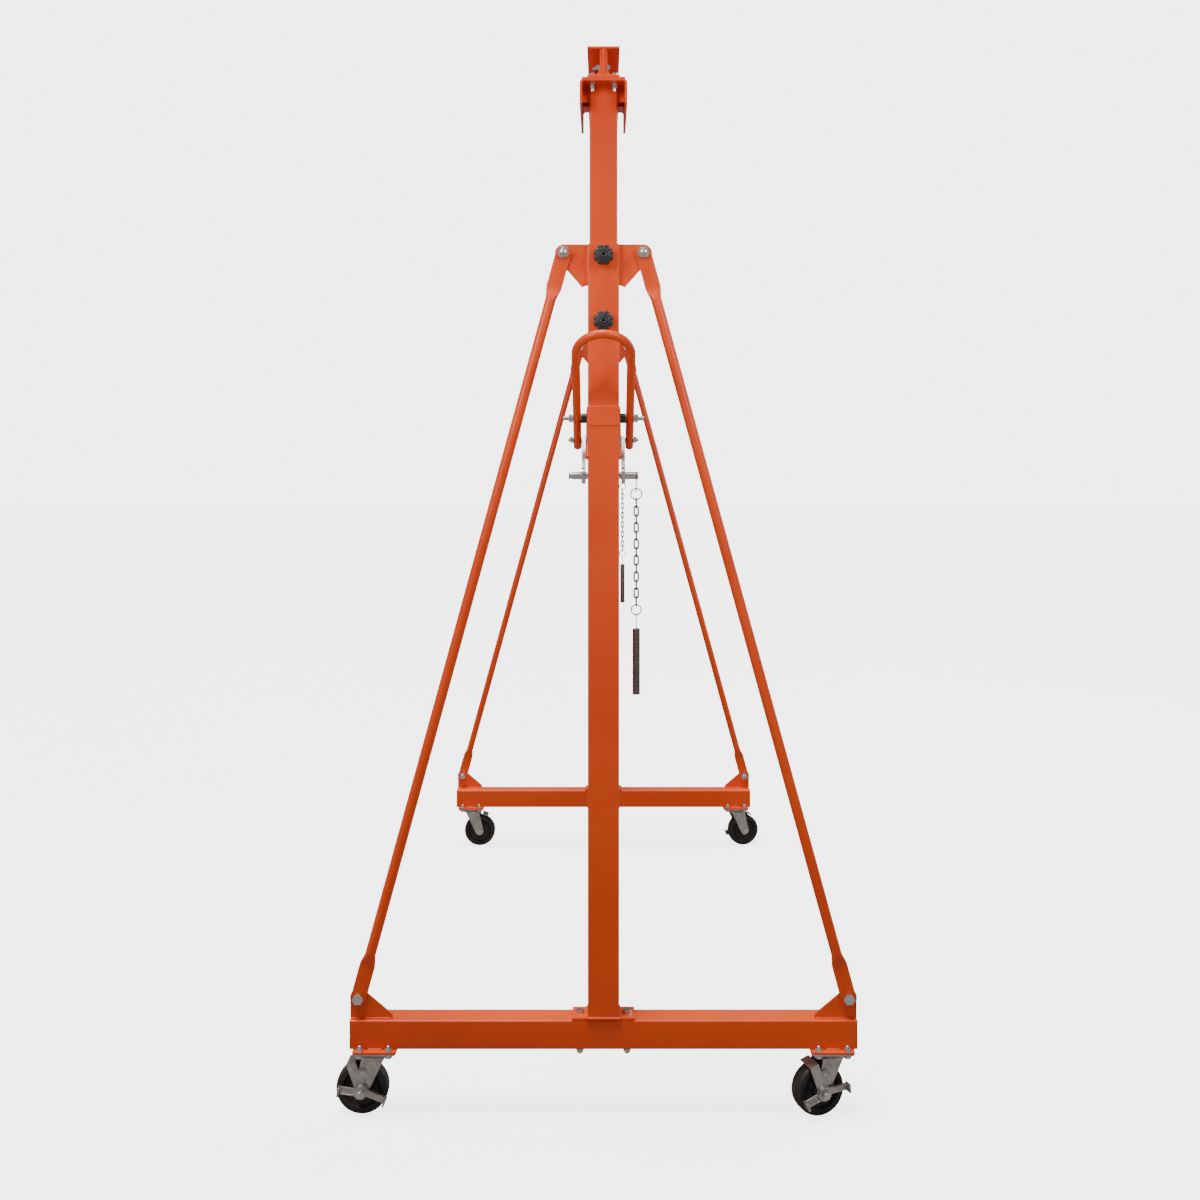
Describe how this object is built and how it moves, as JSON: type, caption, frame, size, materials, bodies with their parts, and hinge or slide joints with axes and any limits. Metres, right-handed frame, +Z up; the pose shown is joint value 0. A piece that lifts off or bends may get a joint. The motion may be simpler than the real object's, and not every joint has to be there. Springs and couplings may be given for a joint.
{
  "type": "gantry crane",
  "caption": "Portable gantry crane: two A-braced end frames on braked swivel casters carry a beam on telescoping masts raised by lever jacks.",
  "frame": {"origin": "on the floor midway between the two end frames, under the middle of the beam", "axes": "+X across an end frame, +Y along the beam from the near frame to the far frame, +Z up"},
  "size_m": [1.3017, 2.765, 2.58],
  "materials": {
    "orange_paint": "orange powder coat, half gloss",
    "zinc_fasteners": "bright zinc plate",
    "zinc_plate": "dull zinc plate on pressed steel",
    "black_plastic": "moulded black plastic",
    "hard_rubber": "hard black wheel compound"
  },
  "bodies": {
    "near_frame": {"near_base_beam": "orange_paint", "near_column": "orange_paint", "near_frame_bolts": "zinc_fasteners", "near_left_strut": "orange_paint", "near_right_strut": "orange_paint", "near_jack_bolts": "zinc_fasteners", "near_jack_bushes": "black_plastic", "near_caster_plates": "zinc_plate"},
    "far_frame": {"far_base_beam": "orange_paint", "far_column": "orange_paint", "far_frame_bolts": "zinc_fasteners", "far_left_strut": "orange_paint", "far_right_strut": "orange_paint", "far_jack_bolts": "zinc_fasteners", "far_jack_bushes": "black_plastic", "far_caster_plates": "zinc_plate"},
    "upper": {"near_mast": "orange_paint", "far_mast": "orange_paint", "near_saddle": "orange_paint", "far_saddle": "orange_paint", "beam": "orange_paint", "beam_stops": "orange_paint", "beam_bolts": "zinc_fasteners"},
    "near_upper_clamp": {"near_upper_knob": "black_plastic"},
    "near_lower_clamp": {"near_lower_knob": "black_plastic"},
    "near_lever": {"near_jack_lever": "orange_paint", "near_link_bolts": "zinc_fasteners"},
    "near_links": {"near_lift_links": "zinc_plate", "near_lift_pins": "zinc_plate"},
    "near_chain": {"near_pin_chain": "zinc_fasteners"},
    "near_lock": {"near_lock_pin": "zinc_plate"},
    "far_upper_clamp": {"far_upper_knob": "black_plastic"},
    "far_lower_clamp": {"far_lower_knob": "black_plastic"},
    "far_lever": {"far_jack_lever": "orange_paint", "far_link_bolts": "zinc_fasteners"},
    "far_links": {"far_lift_links": "zinc_plate", "far_lift_pins": "zinc_plate"},
    "far_chain": {"far_pin_chain": "zinc_fasteners"},
    "far_lock": {"far_lock_pin": "zinc_plate"},
    "near_left_caster": {"near_left_fork": "zinc_plate", "near_left_axle": "zinc_fasteners"},
    "near_left_roller": {"near_left_wheel": "hard_rubber"},
    "near_left_brake_pedal": {"near_left_pedal": "zinc_plate"},
    "near_left_brake_shoe": {"near_left_shoe": "zinc_plate"},
    "near_right_caster": {"near_right_fork": "zinc_plate", "near_right_axle": "zinc_fasteners"},
    "near_right_roller": {"near_right_wheel": "hard_rubber"},
    "near_right_brake_pedal": {"near_right_pedal": "zinc_plate"},
    "near_right_brake_shoe": {"near_right_shoe": "zinc_plate"},
    "far_left_caster": {"far_left_fork": "zinc_plate", "far_left_axle": "zinc_fasteners"},
    "far_left_roller": {"far_left_wheel": "hard_rubber"},
    "far_left_brake_pedal": {"far_left_pedal": "zinc_plate"},
    "far_left_brake_shoe": {"far_left_shoe": "zinc_plate"},
    "far_right_caster": {"far_right_fork": "zinc_plate", "far_right_axle": "zinc_fasteners"},
    "far_right_roller": {"far_right_wheel": "hard_rubber"},
    "far_right_brake_pedal": {"far_right_pedal": "zinc_plate"},
    "far_right_brake_shoe": {"far_right_shoe": "zinc_plate"}
  },
  "joints": [
    {"name": "mast_lift", "type": "slide", "parent": "near_frame", "child": "upper", "axis": [0, 0, 1], "range_m": [0, 1]},
    {"name": "far_mast_lift", "type": "slide", "parent": "upper", "child": "far_frame", "axis": [0, 0, -1], "range_m": [0, 1]},
    {"name": "near_upper_clamp", "type": "hinge", "parent": "near_frame", "child": "near_upper_clamp", "pos_m": [0, -1.155, 2.08], "axis": [0, -1, 0], "range_deg": [0, 360]},
    {"name": "near_lower_clamp", "type": "hinge", "parent": "near_frame", "child": "near_lower_clamp", "pos_m": [0, -1.155, 1.922], "axis": [0, -1, 0], "range_deg": [0, 360]},
    {"name": "near_jack", "type": "hinge", "parent": "near_frame", "child": "near_lever", "pos_m": [0, -1.155, 1.692], "axis": [1, 0, 0], "range_deg": [0, 80]},
    {"name": "near_link_pivot", "type": "hinge", "parent": "near_lever", "child": "near_links", "pos_m": [0, -1.09448, 1.64122], "axis": [1, 0, 0], "range_deg": [-80, 0]},
    {"name": "near_chain_swing", "type": "hinge", "parent": "near_links", "child": "near_chain", "pos_m": [0.08, -1.155, 1.552], "axis": [1, 0, 0], "range_deg": [-30, 30]},
    {"name": "near_lock_swing", "type": "hinge", "parent": "near_chain", "child": "near_lock", "pos_m": [0.08, -1.155, 1.21095], "axis": [1, 0, 0], "range_deg": [-60, 60]},
    {"name": "far_upper_clamp", "type": "hinge", "parent": "far_frame", "child": "far_upper_clamp", "pos_m": [0, 1.155, 2.08], "axis": [0, 1, 0], "range_deg": [0, 360]},
    {"name": "far_lower_clamp", "type": "hinge", "parent": "far_frame", "child": "far_lower_clamp", "pos_m": [0, 1.155, 1.922], "axis": [0, 1, 0], "range_deg": [0, 360]},
    {"name": "far_jack", "type": "hinge", "parent": "far_frame", "child": "far_lever", "pos_m": [0, 1.155, 1.692], "axis": [-1, 0, 0], "range_deg": [0, 80]},
    {"name": "far_link_pivot", "type": "hinge", "parent": "far_lever", "child": "far_links", "pos_m": [0, 1.09448, 1.64122], "axis": [-1, 0, 0], "range_deg": [-80, 0]},
    {"name": "far_chain_swing", "type": "hinge", "parent": "far_links", "child": "far_chain", "pos_m": [0.08, 1.155, 1.552], "axis": [-1, 0, 0], "range_deg": [-30, 30]},
    {"name": "far_lock_swing", "type": "hinge", "parent": "far_chain", "child": "far_lock", "pos_m": [0.08, 1.155, 1.21095], "axis": [-1, 0, 0], "range_deg": [-60, 60]},
    {"name": "near_left_swivel", "type": "hinge", "parent": "near_frame", "child": "near_left_caster", "pos_m": [-0.553, -1.155, 0.147], "axis": [0, 0, 1], "continuous": true},
    {"name": "near_left_roll", "type": "hinge", "parent": "near_left_caster", "child": "near_left_roller", "pos_m": [-0.587, -1.155, 0.0635], "axis": [0, -1, 0], "continuous": true},
    {"name": "near_left_brake", "type": "hinge", "parent": "near_left_caster", "child": "near_left_brake_pedal", "pos_m": [-0.587, -1.192, 0.0635], "axis": [0, 1, 0], "range_deg": [-28, 0]},
    {"name": "near_left_shoe_press", "type": "hinge", "parent": "near_left_caster", "child": "near_left_brake_shoe", "pos_m": [-0.583, -1.186, 0.1085], "axis": [0, 1, 0], "range_deg": [-4.2, 0]},
    {"name": "near_right_swivel", "type": "hinge", "parent": "near_frame", "child": "near_right_caster", "pos_m": [0.553, -1.155, 0.147], "axis": [0, 0, 1], "continuous": true},
    {"name": "near_right_roll", "type": "hinge", "parent": "near_right_caster", "child": "near_right_roller", "pos_m": [0.52066, -1.16551, 0.0635], "axis": [0.309, -0.9511, 0], "continuous": true},
    {"name": "near_right_brake", "type": "hinge", "parent": "near_right_caster", "child": "near_right_brake_pedal", "pos_m": [0.5321, -1.2007, 0.0635], "axis": [-0.309, 0.9511, 0], "range_deg": [0, 28]},
    {"name": "near_right_shoe_press", "type": "hinge", "parent": "near_right_caster", "child": "near_right_brake_shoe", "pos_m": [0.53405, -1.19375, 0.1085], "axis": [-0.309, 0.9511, 0], "range_deg": [0, 4.2]},
    {"name": "far_left_swivel", "type": "hinge", "parent": "far_frame", "child": "far_left_caster", "pos_m": [-0.553, 1.155, 0.147], "axis": [0, 0, 1], "continuous": true},
    {"name": "far_left_roll", "type": "hinge", "parent": "far_left_caster", "child": "far_left_roller", "pos_m": [-0.519, 1.155, 0.0635], "axis": [0, 1, 0], "continuous": true},
    {"name": "far_left_brake", "type": "hinge", "parent": "far_left_caster", "child": "far_left_brake_pedal", "pos_m": [-0.519, 1.192, 0.0635], "axis": [0, -1, 0], "range_deg": [-28, 0]},
    {"name": "far_left_shoe_press", "type": "hinge", "parent": "far_left_caster", "child": "far_left_brake_shoe", "pos_m": [-0.523, 1.186, 0.1085], "axis": [0, -1, 0], "range_deg": [-4.2, 0]},
    {"name": "far_right_swivel", "type": "hinge", "parent": "far_frame", "child": "far_right_caster", "pos_m": [0.553, 1.155, 0.147], "axis": [0, 0, 1], "continuous": true},
    {"name": "far_right_roll", "type": "hinge", "parent": "far_right_caster", "child": "far_right_roller", "pos_m": [0.58599, 1.16322, 0.0635], "axis": [-0.2419, 0.9703, 0], "continuous": true},
    {"name": "far_right_brake", "type": "hinge", "parent": "far_right_caster", "child": "far_right_brake_pedal", "pos_m": [0.57704, 1.19913, 0.0635], "axis": [0.2419, -0.9703, 0], "range_deg": [-28, 0]},
    {"name": "far_right_shoe_press", "type": "hinge", "parent": "far_right_caster", "child": "far_right_brake_shoe", "pos_m": [0.57461, 1.19234, 0.1085], "axis": [0.2419, -0.9703, 0], "range_deg": [-4.2, 0]}
  ],
  "couplings": [
    {"joint": "far_mast_lift", "follows": "mast_lift", "ratio": 1},
    {"joint": "near_link_pivot", "follows": "near_jack", "ratio": -1},
    {"joint": "far_link_pivot", "follows": "far_jack", "ratio": -1},
    {"joint": "near_left_shoe_press", "follows": "near_left_brake", "ratio": 0.15},
    {"joint": "near_right_shoe_press", "follows": "near_right_brake", "ratio": 0.15},
    {"joint": "far_left_shoe_press", "follows": "far_left_brake", "ratio": 0.15},
    {"joint": "far_right_shoe_press", "follows": "far_right_brake", "ratio": 0.15}
  ]
}
